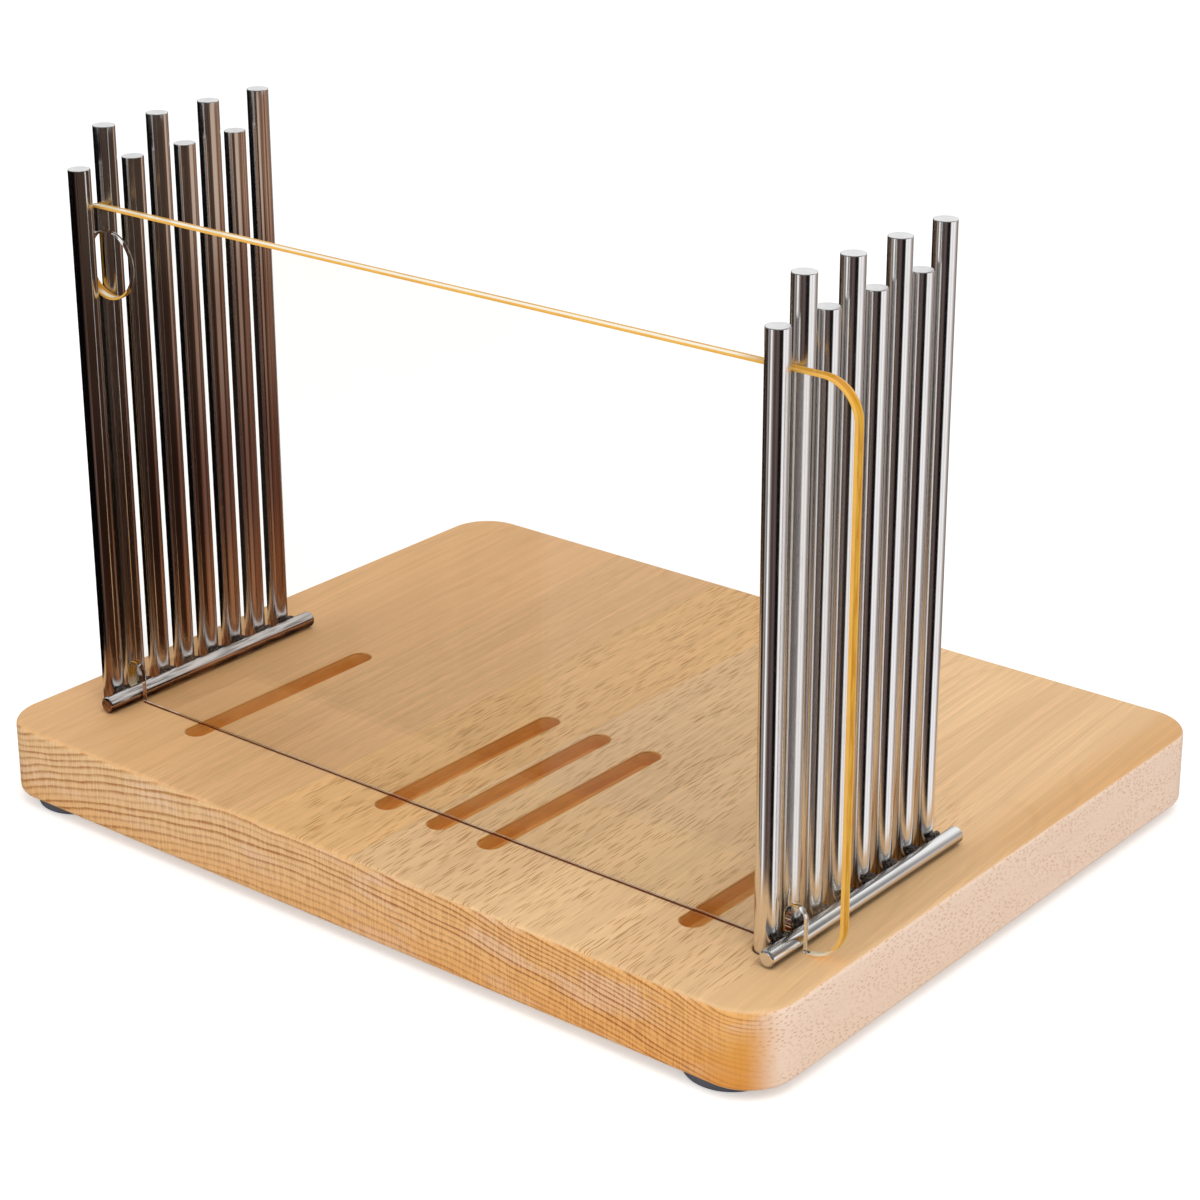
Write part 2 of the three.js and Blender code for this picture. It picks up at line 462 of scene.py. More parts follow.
def board_sides(net, place, settings, grain, patches):
    """The sides' colour: long grain with the short flecks of beech."""
    y, z = net.parts(place)[1:]
    along = net.flat(z, y)
    crop = net.streaks(along, (0.12, 0.05, 1))
    flecks = net.product(net.rise(net.cells(along, 0.85, 0.36), 0.14, 0.28, 1, 0),
                         net.rise(crop, 0.35, 0.6, 0.25, 1.0))
    return net.tinted(
        settings.side_tone,
        (net.product(grain["Lines"], 0.5), SIDE_LINE_TINT),
        (flecks, FLECK_TINT),
        (net.rise(patches, 0.35, 0.65), SIDE_PATCH_TINT))


def beech(settings):
    """Oiled beech: staves on top, growth rings on the ends, flecks along the sides."""
    material, net = new_material("oiled_beech")
    place = place_in_mm(net)
    nx, ny, nz = (net.math("ABSOLUTE", part) for part in own_normal(net))
    on_top = net.rise(nz, 0.45, 0.85)
    on_side = net.rise(net.math("DIVIDE", nx, net.math("ADD", nx, ny)), 0.38, 0.78)
    on_arris = net.product(net.rise(nz, 0.25, 0.6), net.rise(nz, 0.7, 0.98, 1, 0))
    staves, grain = timber(net, place, net.product(on_top, TOP_SKEW))
    patches = net.streaks(place, (0.016, 0.008, 0.03))

    top, pores = board_top(net, place, staves, grain, patches)
    ends, rings, speckle = board_ends(net, place, settings, grain, patches)
    sides = board_sides(net, place, settings, grain, patches)
    colour = net.blend(on_top, net.blend(on_side, ends, sides), top)
    colour = net.tinted(colour, (net.product(on_arris, 0.5), ARRIS_TINT))

    rough = net.math("MULTIPLY_ADD", grain["Lines"], 0.07, 0.5)
    rough = net.math("MULTIPLY_ADD", pores, 0.12, rough)
    relief = net.product(pores, -1.0)
    for height, share in ((grain["Lines"], -0.35), (rings, -0.4), (speckle, 0.25)):
        relief = net.math("MULTIPLY_ADD", height, share, relief)
    finish_surface(net, coated(
        net, {"Base Color": colour, "Roughness": rough, "Specular IOR Level": 0.35},
        (relief, 0.35, 0.12 * MM)))
    return material


def scorched_beech(settings, rim_foot):
    """The routed grooves: the same timber, browned by the cutter, with rims above rim_foot that carry a
    painted highlight round the front ends and painted shade along the left sides.
    """
    material, net = new_material("scorched_beech")
    place = place_in_mm(net)
    nx, ny, nz = own_normal(net)
    grain = timber(net, place, TOP_SKEW)[1]
    burn = net.streaks(place, (0.09, 0.05, 0.3), 3, 0.6)
    rim = net.product(net.rise(net.parts(place)["Z"], rim_foot / MM - 0.2, rim_foot / MM),
                      net.rise(nz, 0.1, 0.3))
    colour = net.tinted(settings.groove_tone, (net.rise(burn, 0.35, 0.7, 0.0, 0.7), BURN_TINT))
    colour = net.blend(net.product(net.rise(nz, 0.3, 0.9), 0.3), colour, paint("#DCA056"))
    colour = net.tinted(colour, (net.product(grain["Lines"], 0.4), GROOVE_LINE_TINT))
    # Painted highlight on the rims that face back, round each front end; painted shade on the rims that
    # face right, along each left side.
    colour = net.blend(net.product(rim, net.rise(ny, 0.1, 0.6)), colour, paint("#FBE3C0"))
    colour = net.blend(net.product(rim, net.rise(nx, 0.3, 0.6, 0.0, 0.6)), colour, paint("#8A5228"))
    relief = net.math("MULTIPLY_ADD", burn, 0.4, grain["Lines"])
    finish_surface(net, coated(
        net, {"Base Color": colour, "Roughness": net.spread(burn, 0.55, 0.8),
              "Specular IOR Level": 0.3},
        (relief, 0.4, 0.1 * MM)))
    return material


# Steel, acrylic and rubber

LOT_SPREAD = 90.0
SMUDGE_TINT = (0.93, 0.92, 0.91)
RAIL_PAINTED_SHADE = (0.05, 0.035, 0.028)
TURNING_MARKS_PER_MM = 22.0
TURNING_TINT = (0.9, 0.9, 0.9)
LIGHT_THROUGH_SHEET = (0.96, 0.95, 0.92)
ACRYLIC_IOR = 1.49
RUBBER_MOTTLE_TINT = (0.82, 0.83, 0.85)


def build_handling(name):
    """Faint wipe marks and the slight waves of a polished surface."""
    net, entry, end = new_group(
        name, [("Place", "Vector")], [("Smudge", "Float"), ("Waves", "Float")])
    smear = net.streaks(entry["Place"], (0.35, 0.35, 0.08), 3, 0.6)
    dust = net.clouds(entry["Place"], 2.4, 2, 0.6)
    smudge = net.product(net.rise(smear, 0.45, 0.75), net.spread(dust, 0.6, 1.2))
    waves = net.streaks(entry["Place"], (0.07, 0.07, 0.02), 1)
    return close_group(net, end, smudge=smudge, waves=waves)


def own_lot(net, place):
    """The place moved by the piece's own lot number, so that no two rods match."""
    lot = net.add("ObjectInfo").outputs["Random"]
    return net.vector("ADD", place, net.flat(net.product(lot, LOT_SPREAD), lot))["Vector"]


def handling(net, place):
    return net.group(shared_group("handling_marks", build_handling), place=own_lot(net, place))


def polished_steel(settings, lying=False):
    """The rods' steel; lying down as a rail, it gets painted shade where it faces the board."""
    material, net = new_material("rail_steel" if lying else "polished_steel")
    marks = handling(net, place_in_mm(net))
    tone = net.tinted(settings.steel_tone, (net.product(marks["Smudge"], 0.5), SMUDGE_TINT))
    if lying:
        # Painted shade: the flank that faces the board is darkened as a painted contact shadow.
        ny, nz = own_normal(net)[1:]
        painted_shade_flank = net.math("MULTIPLY_ADD", net.product(nz, nz), -0.6, 1.0)
        tone = net.blend(net.product(net.rise(ny, -0.15, 0.30), painted_shade_flank), tone, RAIL_PAINTED_SHADE)
    finish_surface(net, coated(
        net, {"Base Color": tone, "Metallic": 1.0, "Anisotropic": 0.95,
              "Anisotropic Rotation": 0.25,
              "Roughness": net.spread(marks["Smudge"], 0.14, 0.20)},
        (marks["Waves"], 0.12, 0.4 * MM)))
    return material


def faced_steel():
    """The rods' cut ends, with the turning marks left by facing them."""
    material, net = new_material("faced_steel")
    place = place_in_mm(net)
    marks = handling(net, place)
    x, y = net.parts(place)[:2]
    reach = net.vector("LENGTH", net.flat(x, y))["Value"]
    turned = net.math("SINE", net.product(reach, TURNING_MARKS_PER_MM))
    tone = net.tinted(paint("#FAFAFA"), (net.spread(turned, 0.0, 0.3), TURNING_TINT))
    finish_surface(net, coated(
        net, {"Base Color": tone, "Metallic": 0.6,
              "Roughness": net.spread(marks["Smudge"], 0.32, 0.45)},
        (turned, 0.15, 0.05 * MM)))
    return material


def weld_metal(settings):
    """The scaly metal of the tack welds."""
    material, net = new_material("weld_metal")
    place = place_in_mm(net)
    marks = handling(net, place)
    scale = net.clouds(place, 1.6, 3, 0.6)
    tone = net.blend(net.rise(scale, 0.4, 0.7), settings.weld_tone, paint("#85786E"))
    finish_surface(net, coated(
        net, {"Base Color": tone, "Metallic": 1.0,
              "Roughness": net.math("MULTIPLY_ADD", marks["Smudge"], 0.2, 0.28)},
        (scale, 0.5, 0.2 * MM)))
    return material


def let_lamps_through(net, shader):
    """Clear acrylic casts hardly any shadow."""
    rays = net.add("LightPath")
    open_air = net.add("BsdfTransparent", {"Color": LIGHT_THROUGH_SHEET})
    return net.add("MixShader", {0: rays.outputs["Is Shadow Ray"], 1: shader.outputs[0],
                                 2: open_air.outputs[0]})


def clear_acrylic(settings):
    """The sheet itself, with faint wipe marks."""
    material, net = new_material("clear_acrylic")
    marks = handling(net, place_in_mm(net))
    shader = coated(net, {
        "Base Color": settings.clear_tone, "Transmission Weight": 1.0, "IOR": ACRYLIC_IOR,
        "Roughness": net.spread(marks["Smudge"], 0.0, 0.03)})
    finish_surface(net, let_lamps_through(net, shader))
    return material


def amber_edge(settings, foot):
    """The sheet's polished edge, which gathers the amber of its whole depth, with painted highlights
    along its top and at its lower corners.
    """
    material, net = new_material("amber_edge")
    place = place_in_mm(net)
    marks = handling(net, place)
    x, y, z = net.parts(place)
    flow = net.streaks(place, (0.07, 0.6, 0.07), 2, 0.6)
    amber = net.blend(net.rise(flow, 0.35, 0.65), settings.edge_tone, paint("#CF8C1E"))
    at_rims = net.rise(net.math("ABSOLUTE", y), 0.9, 1.6, 0.0, 0.7)
    amber = net.blend(at_rims, amber, paint("#F6BE62"))

    # A pale painted highlight runs as a line along the top as far as the right corner, and the lower
    # corners end in a pale painted highlight
    line = net.math("ABSOLUTE", net.math("ADD", y, 0.55))
    line = net.product(net.rise(line, 0.8, 1.15, 1, 0),
                       net.rise(own_normal(net)["Z"], 0.8, 0.98),
                       net.rise(x, 128.0, 142.0, 1, 0))
    height = net.math("SUBTRACT", z, foot / MM)
    corner = net.product(net.rise(net.math("ABSOLUTE", x), 153.0, 158.0),
                         net.rise(height, 1.5, 6.0, 1, 0))
    colour = net.blend(net.math("MAXIMUM", line, corner), amber, settings.edge_painted_highlight_tone)
    shader = coated(
        net, {"Base Color": colour, "Specular IOR Level": 0.2,
              "Roughness": net.spread(marks["Smudge"], 0.12, 0.25)},
        (flow, 0.2, 0.1 * MM))
    finish_surface(net, let_lamps_through(net, shader))
    return material


def shaded_underside(settings):
    """The sheet's lower edge, dark with painted shade along its middle, as it shows through the front
    face.
    """
    material, net = new_material("shaded_underside")
    place = place_in_mm(net)
    flow = net.streaks(place, (0.05, 0.6, 0.05), 3, 0.6)
    # Painted shade: the dark tone stands for the contact shadow under the foot.
    tone = net.blend(net.rise(flow, 0.35, 0.65), settings.edge_painted_shade_tone, paint("#7A300C"))
    off_centre = net.math("ABSOLUTE", net.parts(place)["Y"])
    shader = coated(net, {
        "Base Color": tone, "Roughness": net.spread(flow, 0.5, 0.8),
        "Specular IOR Level": 0.0, "Alpha": net.rise(off_centre, 0.75, 1.1, 1, 0)})
    finish_surface(net, let_lamps_through(net, shader))
    return material


def grey_rubber(settings):
    """Mottled grey rubber with fine pits."""
    material, net = new_material("grey_rubber")
    moved = own_lot(net, place_in_mm(net))
    mottle = net.clouds(moved, 0.5, 3, 0.6)
    pits = net.clouds(moved, 3.0, 2, 0.6)
    tone = net.tinted(settings.rubber_tone,
                      (net.rise(mottle, 0.35, 0.65, 0, 0.6), RUBBER_MOTTLE_TINT))
    finish_surface(net, coated(
        net, {"Base Color": tone, "Roughness": net.spread(mottle, 0.6, 0.85)},
        (pits, 0.4, 0.1 * MM)))
    return material


# Mesh work

LEVEL_NORMAL = 0.9999
CREASE = math.radians(32)
OUTLINE_STEPS = 24


def new_piece(name, work, materials, location=(0, 0, 0)):
    """The finished piece in the scene, smooth except at its flats and creases."""
    bmesh.ops.recalc_face_normals(work, faces=work.faces)
    for face in work.faces:
        face.smooth = max(abs(part) for part in face.normal) < LEVEL_NORMAL
    for edge in work.edges:
        if len(edge.link_faces) == 2 and edge.calc_face_angle(0) > CREASE:
            edge.smooth = False
    data = bpy.data.meshes.new(name)
    work.to_mesh(data)
    work.free()
    for material in materials:
        data.materials.append(material)
    piece = bpy.data.objects.new(name, data)
    piece.location = location
    bpy.context.scene.collection.objects.link(piece)
    return piece


def stand_for(piece, body, slot, *nodes):
    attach(piece, body)
    if nodes:
        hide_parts(*nodes)


def ring(work, points, height):
    return [work.verts.new((x, y, height)) for x, y in points]


def skirt(work, lower, upper, slot=0):
    """A band of faces between two rings."""
    faces = []
    for i in range(len(lower)):
        j = (i + 1) % len(lower)
        faces.append(work.faces.new((lower[i], lower[j], upper[j], upper[i])))
        faces[-1].material_index = slot
    return faces


def rim_edges(work, loop):
    return [work.edges.get((loop[i], loop[(i + 1) % len(loop)])) for i in range(len(loop))]


def quarter(steps):
    """Shares of a quarter round: how far in from the side, how far up."""
    angles = [i / steps * math.pi / 2 for i in range(steps + 1)]
    return [(1 - math.cos(a), math.sin(a)) for a in angles]


def arc(x, y, radius, start, end, steps):
    angles = [math.radians(start + (end - start) * i / steps) for i in range(steps + 1)]
    return [(x + radius * math.cos(a), y + radius * math.sin(a)) for a in angles]


def circle(x, y, radius, sides, turn=360):
    """Points all round, anticlockwise, or clockwise with a turn of -360."""
    return arc(x, y, radius, 0, turn * (sides - 1) / sides, sides - 1)


def board_outline(half_x, half_y, radius, inset):
    x, y, r = half_x - radius, half_y - radius, radius - inset
    points = []
    for cx, cy, start in ((x, -y, -90), (x, y, 0), (-x, y, 90), (-x, -y, 180)):
        points += arc(cx, cy, r, start, start + 90, OUTLINE_STEPS)
    return points


def slot_outline(x, front, back, radius):
    return (arc(x, back, radius, 0, 180, OUTLINE_STEPS)
            + arc(x, front, radius, 180, 360, OUTLINE_STEPS))


def lathe(profile, sides=64):
    """A turned shape round Z from (radius, height) pairs; a zero radius closes it."""
    work = bmesh.new()
    below = None
    for radius, height in profile:
        if radius == 0:
            level = work.verts.new((0, 0, height))
        else:
            level = ring(work, circle(0, 0, radius, sides), height)
        if below is not None:
            join_levels(work, below, level)
        below = level
    return work


def join_levels(work, below, level):
    if isinstance(below, list) and isinstance(level, list):
        skirt(work, below, level)
        return
    tip, loop = (below, level) if isinstance(level, list) else (level, below)
    for i, vert in enumerate(loop):
        work.faces.new((vert, loop[(i + 1) % len(loop)], tip))


def rounded_end(radius, height, size, direction, steps=6):
    """(radius, height) pairs of an end's round: from the end's face to the side."""
    return [(radius - size * (1 - rise), height + direction * size * inward)
            for inward, rise in quarter(steps)]


def round_bar(radius, length, size, steps=6):
    """A turned bar that stands on zero, rounded at both ends."""
    lower = rounded_end(radius, 0, size, 1, steps)
    upper = rounded_end(radius, length, size, -1, steps)
    return lathe([(0, 0), *lower, *reversed(upper), (0, length)])


# Pieces

EDGE_STEPS = 8
RIM_BEND = 0.3


class SLICER_OT_board(bpy.types.Operator):
    """Build the beech board with its routed grooves"""
    bl_idname = "slicer_guide.board"
    bl_label = "Board"

    def execute(self, context):
        settings = context.scene.slicer_board
        low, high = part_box("board")
        size = settings.edge_round
        work = bmesh.new()
        steps = quarter(EDGE_STEPS)
        levels = [(1 - rise, low.z + size * inward) for inward, rise in steps]
        levels += [(1 - rise, high.z - size * inward) for inward, rise in reversed(steps)]
        rings = [ring(work, board_outline(high.x, high.y, settings.corner_radius, inset * size), z)
                 for inset, z in levels]
        for lower, upper in zip(rings, rings[1:]):
            skirt(work, lower, upper)
        work.faces.new(list(reversed(rings[0])))
        rims = rim_edges(work, rings[-1])

        front, back = middle("left_rod_1").y, middle("left_rod_8").y
        places = [middle("left_rod_1").x, *spare_groove_places(), middle("right_rod_1").x]
        radius, rim = settings.groove_width / 2, settings.groove_rim
        floor = high.z - settings.groove_depth
        for x in places:
            bend = rim * RIM_BEND
            shape = [(rim, high.z), (bend, high.z - bend), (0, high.z - rim),
                     (0, floor + rim), (-rim, floor)]
            loops = [ring(work, slot_outline(x, front, back, radius + out), z) for out, z in shape]
            for lower, upper in zip(loops, loops[1:]):
                skirt(work, lower, upper, 1)
            work.faces.new(loops[-1]).material_index = 1
            rims += rim_edges(work, loops[0])
        bmesh.ops.triangle_fill(work, use_beauty=True, use_dissolve=False, edges=rims)

        finishes = [beech(settings), scorched_beech(settings, high.z - rim)]
        piece = new_piece("beech_board", work, finishes)
        stand_for(piece, "base", "board", "board")
        return {"FINISHED"}


ROD_END_STEPS = 4
FACED_SHARE = 0.05


class SLICER_OT_fences(bpy.types.Operator):
    """Build both fences: their upright rods and the rails at their feet"""
    bl_idname = "slicer_guide.fences"
    bl_label = "Fences"

    def execute(self, context):
        settings = context.scene.slicer_fence
        steel, faced = polished_steel(settings), faced_steel()
        rail_steel = polished_steel(settings, lying=True)
        for side in SIDES:
            for number in ROD_NUMBERS:
                self.rod(settings, side, number, steel, faced)
            self.rail(settings, side, rail_steel)
        return {"FINISHED"}

    def rod(self, settings, side, number, steel, faced):
        node = f"{side}_rod_{number}"
        low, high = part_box(node)
        length, size = high.z - low.z, settings.rod_end_round
        work = round_bar((high.x - low.x) / 2, length, size, ROD_END_STEPS)
        for face in work.faces:
            if min(vert.co.z for vert in face.verts) > length - FACED_SHARE * size:
                face.material_index = 1
        centre = middle(node)
        piece = new_piece(f"{side}_upright_{number}", work, [steel, faced],
                          (centre.x, centre.y, low.z))
        stand_for(piece, f"{side}_fence", "fence", node)

    def rail(self, settings, side, steel):
        node = f"{side}_rail"
        low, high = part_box(node)
        work = round_bar((high.x - low.x) / 2, high.y - low.y, settings.rail_end_round)
        centre = middle(node)
        piece = new_piece(f"{side}_foot_rail", work, [steel], (centre.x, low.y, centre.z))
        piece.rotation_euler = (-math.pi / 2, 0, 0)
        stand_for(piece, f"{side}_fence", "fence", node)


BEAD_HALF_WIDTH = 1.35 * MM
BEAD_ASIDE = 0.35 * MM
BEAD_BELOW_RAIL_TOP = 0.9 * MM
LUMPS_ACROSS_BEAD = 2.1
LUMP_SHARE = 0.3


class SLICER_OT_welds(bpy.types.Operator):
    """Build the tack welds that join each rod to its rail"""
    bl_idname = "slicer_guide.welds"
    bl_label = "Tack Welds"

    def execute(self, context):
        settings = context.scene.slicer_fence
        metal = weld_metal(settings)
        for side in SIDES:
            rail_low, rail_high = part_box(f"{side}_rail")
            work = bmesh.new()
            for number in ROD_NUMBERS:
                low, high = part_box(f"{side}_rod_{number}")
                gap = (high.x + rail_low.x) / 2
                self.bead(work, settings, number, Vector((
                    gap + BEAD_ASIDE, (low.y + high.y) / 2, rail_high.z - BEAD_BELOW_RAIL_TOP)))
            piece = new_piece(f"{side}_tack_welds", work, [metal])
            stand_for(piece, f"{side}_fence", "fence")
        return {"FINISHED"}

    def bead(self, work, settings, number, place):
        """One lumpy bead of metal in the corner between a rod and the rail."""
        made = bmesh.ops.create_icosphere(work, subdivisions=3, radius=1)
        half = Vector((BEAD_HALF_WIDTH, settings.weld_length / 2, settings.weld_height / 2))
        lot = Vector((number * 3.1, place.x * 90, 0))
        for vert in made["verts"]:
            lump = noise.noise(vert.co * LUMPS_ACROSS_BEAD + lot)
            vert.co = vert.co * (1 + LUMP_SHARE * lump)
            vert.co = place + Vector(a * b for a, b in zip(vert.co, half))


HOLE_SIDES = 72
AMBER_LIP_DROP = 0.32
NOTCH_REACH = 5 * MM
ARCH_STEPS = 20
PLATE_RIM_STEPS = 4
PLATE_CORNER_STEPS = 16
CLEAR, AMBER, SHADED = range(3)


class SLICER_OT_plate(bpy.types.Operator):
    """Build the clear guard plate with its notches and finger hole"""
    bl_idname = "slicer_guide.plate"
    bl_label = "Guard Plate"

    def execute(self, context):
        settings = context.scene.slicer_plate
        low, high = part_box("guard_plate")
        half_depth = (high.y - low.y) / 2
        outline = self.outline(settings, low, high)
        hole_low, hole_high = opening("finger_hole")
        hole = (hole_low + hole_high) / 2
        edge = circle(hole.x, hole.z, settings.hole_diameter / 2, HOLE_SIDES, -360)
        lip = hole.z - AMBER_LIP_DROP * settings.hole_diameter
        arches = low.z + settings.notch_height + settings.edge_glow
        rails = [middle(f"{side}_rail").x for side in SIDES]
        left, right = low.x + settings.corner_radius, high.x - settings.corner_radius
        foot = low.z + settings.edge_round + settings.edge_glow

        def outside(spot):
            """The rim's material: clear at the notches, amber, and dark with painted shade under the
            straight foot.
            """
            if spot.y < arches and any(abs(spot.x - x) < NOTCH_REACH for x in rails):
                return CLEAR
            if spot.y < foot and left < spot.x < right:
                return SHADED if abs(spot.z) < half_depth / 2 else CLEAR
            return AMBER

        def inside(spot):
            """The hole's edge: amber at its foot, clear elsewhere."""
            return AMBER if spot.y < lip else CLEAR

        work = bmesh.new()
        fronts, backs = [], []
        for points, finish in ((outline, outside), (edge, inside)):
            loops = [ring(work, self.grown(points, -inset), depth)
                     for inset, depth in self.levels(settings, half_depth)]
            for lower, upper in zip(loops, loops[1:]):
                for face in skirt(work, lower, upper):
                    face.material_index = finish(face.calc_center_median())
            fronts += rim_edges(work, loops[0])
            backs += rim_edges(work, loops[-1])
        bmesh.ops.triangle_fill(work, use_beauty=True, use_dissolve=False, edges=fronts)
        bmesh.ops.triangle_fill(work, use_beauty=True, use_dissolve=False, edges=backs)
        work.transform(Matrix.Rotation(math.pi / 2, 4, "X"))
        finishes = [clear_acrylic(settings), amber_edge(settings, low.z),
                    shaded_underside(settings)]
        piece = new_piece("clear_guard", work, finishes, (0, (low.y + high.y) / 2, 0))
        stand_for(piece, "guard", "plate", "guard_plate")
        return {"FINISHED"}

    def levels(self, settings, half_depth):
        """(inset, depth) from the back face to the front face, with both rims rounded."""
        size = settings.edge_round
        back = [(size * (1 - rise), -half_depth + size * inward)
                for inward, rise in quarter(PLATE_RIM_STEPS)]
        back.insert(0, (size + settings.edge_glow, -half_depth))
        front = [(inset, -depth) for inset, depth in reversed(back)]
        return back + front

    def grown(self, points, amount):
        """The outline moved outwards by amount, corners mitred; it runs anticlockwise."""
        moved = []
        count = len(points)
        for i, here in enumerate(points):
            before = Vector(here) - Vector(points[i - 1])
            after = Vector(points[(i + 1) % count]) - Vector(here)
            first = Vector((before.y, -before.x)).normalized()
            second = Vector((after.y, -after.x)).normalized()
            step = (first + second) / (1 + first.dot(second))
            moved.append(tuple(Vector(here) + step * amount))
        return moved

    def outline(self, settings, low, high):
        """The plate's outline from its lower left corner, anticlockwise as seen from the front."""
        radius = settings.corner_radius
        half = settings.notch_width / 2
        arch = low.z + settings.notch_height - half
        points = [(low.x + radius, low.z)]
        for side in SIDES:
            x = middle(f"{side}_rail").x
            points += [(x - half, low.z), *arc(x, arch, half, 180, 0, ARCH_STEPS),
                       (x + half, low.z)]
        left, right = low.x + radius, high.x - radius
        bottom, top = low.z + radius, high.z - radius
        for x, z, start in ((right, bottom, -90), (right, top, 0), (left, top, 90),
                            (left, bottom, 180)):
            points += arc(x, z, radius, start, start + 90, PLATE_CORNER_STEPS)
        return points[:-1]


FOOT_LIP = 0.2 * MM
FOOT_SIDES = 72


class SLICER_OT_feet(bpy.types.Operator):
    """Build the four rubber feet"""
    bl_idname = "slicer_guide.feet"
    bl_label = "Feet"

    def execute(self, context):
        settings = context.scene.slicer_foot
        rubber = grey_rubber(settings)
        for corner in FOOT_CORNERS:
            node = f"foot_{corner}"
            low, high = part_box(node)
            radius, height = (high.x - low.x) / 2, high.z - low.z
            foot = rounded_end(radius - settings.taper, 0, settings.edge_round, 1)
            work = lathe([(0, 0), *foot, (radius, height - FOOT_LIP),
                          (radius - FOOT_LIP, height), (0, height)], FOOT_SIDES)
            centre = middle(node)
            piece = new_piece(f"rubber_foot_{corner}", work, [rubber], (centre.x, centre.y, low.z))
            stand_for(piece, "base", "foot", node)
        return {"FINISHED"}


# Stage

# What the steel mirrors of the studio, by compass angle (0 in front, 90 on the right): red,
# green and blue brightness of its walls, and the grey of what hangs above them
WALLS = (
    (-180, 0.28, 0.24, 0.22), (-152, 0.24, 0.20, 0.18), (-138, 0.03, 0.02, 0.02),
    (-125, 0.004, 0.002, 0.002), (-62, 0.004, 0.002, 0.002), (-53, 0.10, 0.09, 0.09),
    (-43, 0.42, 0.40, 0.40), (-35, 0.14, 0.12, 0.12), (-28, 0.28, 0.25, 0.24),
    (-23, 1.00, 0.99, 0.98), (-13, 1.00, 0.99, 0.98), (-8, 0.40, 0.35, 0.34),
    (1, 0.26, 0.22, 0.21), (6, 0.09, 0.060, 0.055), (22, 0.07, 0.048, 0.044),
    (34, 0.12, 0.090, 0.085), (48, 0.08, 0.055, 0.050), (54, 0.006, 0.003, 0.003),
    (77, 0.004, 0.002, 0.002), (81, 0.30, 0.27, 0.27), (86, 1.00, 0.99, 1.00),
    (101, 0.96, 0.94, 0.96), (107, 0.74, 0.72, 0.73), (114, 1.00, 0.99, 1.00),
    (130, 0.94, 0.92, 0.93), (138, 0.60, 0.54, 0.52), (154, 0.36, 0.31, 0.29),
    (168, 0.26, 0.22, 0.20), (180, 0.28, 0.24, 0.22),
)
OVERHEAD = (
    (-180, 1.00), (-160, 0.95), (-147, 0.82), (-120, 0.90), (-90, 0.45), (-60, 0.20),
    (0, 0.12), (90, 0.20), (125, 0.12), (141, 0.26), (152, 0.50), (162, 0.90), (180, 1.00),
)
WALL_TOP = (0.04, 0.26)
WHITE = (1, 1, 1)
FLOOR_HALF = 6
# Each softbox: its place, its width and the setting that holds its power
SOFTBOXES = (
    ("key_softbox", (0.9, -0.5, 1.7), 1.4, "key_power"),
    ("front_softbox", (-0.7, -1.8, 1.0), 1.2, "fill_power"),
)
LAMP_AIM = Vector((0, 0, 0.08))
WARM_CARD_REACH = 24 * MM
WARM_CARD_ENDS = (-0.2, 0.9)
# Tints of the warm cards' painted reflection: lower down, at the foot and at the top.
WARM_CARD_LOWER_TINT = (0.60, 0.46, 0.43)
WARM_CARD_FOOT_TINT = (1.88, 1.67, 1.09)
WARM_CARD_TOP_TINT = (1.8, 2.2, 2.3)
FOOT_CARD_REACH = 12 * MM
FOOT_CARD_GAP = 0.2 * MM
RAIL_CARD_OVERHANG = 20 * MM
RAIL_CARD_GAP = 2.5 * MM
DARK_CARD_REACHES = (-0.3, 0.16)
DARK_CARD_GAP = 12 * MM
DARK_CARD_FOOT = -0.1
CAMERA_PLACE = (0.612151, -0.750076, 0.479660)
CAMERA_TURN = (39.128, 20.451, -0.194)
CAMERA_LENS = 86.439
CAMERA_SHIFT = -0.0833


